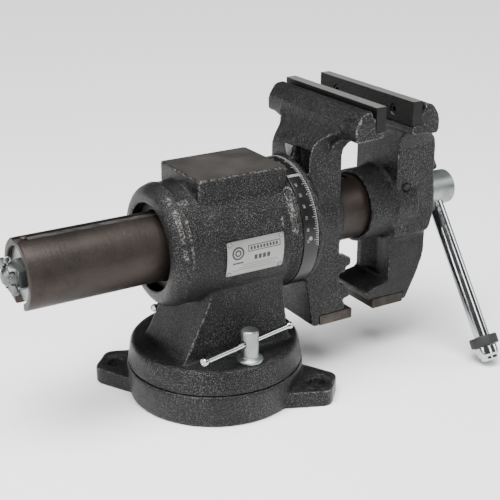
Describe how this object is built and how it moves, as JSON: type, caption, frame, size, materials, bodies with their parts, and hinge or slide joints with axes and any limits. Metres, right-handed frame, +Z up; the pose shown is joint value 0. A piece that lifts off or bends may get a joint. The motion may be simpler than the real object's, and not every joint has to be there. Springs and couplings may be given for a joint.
{
  "type": "bench vise",
  "caption": "Rotating-head bench vise with a long slide tube, flat jaws over pipe jaws, an anvil, and a swivel base with clamp bolts.",
  "frame": {"origin": "centre of the swivel base on its flat underside", "axes": "+X along the spindle from the rear of the slide tube to the handle, +Z up, +Y to the left seen from behind"},
  "size_m": [0.485, 0.2124, 0.2778],
  "materials": {
    "casting_paint": "charcoal hammertone enamel over cast iron",
    "tube_steel": "dark oiled ground steel",
    "jaw_steel": "ground hardened steel",
    "chrome": "bright plated steel",
    "zinc": "zinc plated steel",
    "bronze": "machined bronze",
    "rubber": "black rubber",
    "dial_black": "gloss black band with white graduations",
    "plate_aluminium": "brushed aluminium sheet"
  },
  "bodies": {
    "base": {"swivel_base": "casting_paint", "swivel_pin": "tube_steel"},
    "turntable": {"body_casting": "casting_paint", "dial_band": "dial_black", "nameplate": "plate_aluminium", "nameplate_rivet_1": "plate_aluminium", "nameplate_rivet_2": "plate_aluminium", "nameplate_rivet_3": "plate_aluminium", "nameplate_rivet_4": "plate_aluminium", "brake_shoe": "bronze", "near_clamp_nut": "tube_steel", "far_clamp_nut": "tube_steel"},
    "near_clamp": {"near_clamp_bolt": "chrome"},
    "near_bar": {"near_clamp_bar": "chrome"},
    "far_clamp": {"far_clamp_bolt": "chrome"},
    "far_bar": {"far_clamp_bar": "chrome"},
    "head_lock": {"head_lock_screw": "chrome"},
    "head_bar": {"head_lock_bar": "chrome"},
    "static_head": {"static_jaw": "casting_paint", "dial_pointer": "zinc", "neck_ring": "tube_steel", "tube_key": "tube_steel", "spindle_nut": "bronze", "spindle_nut_bolt": "zinc", "static_insert": "jaw_steel", "static_insert_screw_1": "zinc", "static_insert_screw_2": "zinc", "static_pipe_pad": "tube_steel", "static_pad_screw": "zinc"},
    "moving_head": {"moving_jaw": "casting_paint", "slide_tube": "tube_steel", "tube_pin": "tube_steel", "stop_screw": "zinc", "moving_insert": "jaw_steel", "moving_insert_screw_1": "zinc", "moving_insert_screw_2": "zinc", "moving_pipe_pad": "tube_steel", "moving_pad_screw": "zinc"},
    "screw": {"spindle": "chrome", "thrust_washer": "zinc", "castle_nut": "zinc", "cotter_pin": "zinc", "rear_washer": "zinc"},
    "handle": {"handle_rod": "chrome", "handle_cap_upper": "chrome", "handle_cap_lower": "chrome", "handle_ring_upper": "rubber", "handle_ring_lower": "rubber"}
  },
  "joints": [
    {"name": "base_swivel", "type": "hinge", "parent": "base", "child": "turntable", "pos_m": [0, 0, 0.0325], "axis": [0, 0, 1], "continuous": true},
    {"name": "near_clamp_turn", "type": "hinge", "parent": "turntable", "child": "near_clamp", "pos_m": [0, -0.066, 0.074], "axis": [0, 0, 1], "range_deg": [-23.5, 1.5]},
    {"name": "near_bar_slide", "type": "slide", "parent": "near_clamp", "child": "near_bar", "axis": [0.9728, 0.2317, 0], "range_m": [-0.036, 0.008]},
    {"name": "far_clamp_turn", "type": "hinge", "parent": "turntable", "child": "far_clamp", "pos_m": [0, 0.066, 0.074], "axis": [0, 0, 1], "range_deg": [-30, 3]},
    {"name": "far_bar_slide", "type": "slide", "parent": "far_clamp", "child": "far_bar", "axis": [-0.9085, -0.4179, 0], "range_m": [-0.02, 0.007]},
    {"name": "head_lock_turn", "type": "hinge", "parent": "turntable", "child": "head_lock", "pos_m": [0.006, 0.082, 0.1586], "axis": [0, 1, 0], "range_deg": [-180, 180]},
    {"name": "head_bar_slide", "type": "slide", "parent": "head_lock", "child": "head_bar", "axis": [0, 0, 1], "range_m": [-0.022, 0.022]},
    {"name": "head_rotate", "type": "hinge", "parent": "turntable", "child": "static_head", "pos_m": [0, 0, 0.1586], "axis": [1, 0, 0], "continuous": true},
    {"name": "jaw_slide", "type": "slide", "parent": "static_head", "child": "moving_head", "axis": [1, 0, 0], "range_m": [-0.0299, 0.12]},
    {"name": "spindle_turn", "type": "hinge", "parent": "moving_head", "child": "screw", "pos_m": [0.2, 0, 0.1586], "axis": [1, 0, 0], "range_deg": [-1788, 7200]},
    {"name": "handle_slide", "type": "slide", "parent": "screw", "child": "handle", "axis": [0, 0.5807, 0.8141], "range_m": [0, 0.142]}
  ],
  "couplings": [
    {"joint": "jaw_slide", "follows": "spindle_turn", "m_per_rad": 0.0009549}
  ]
}
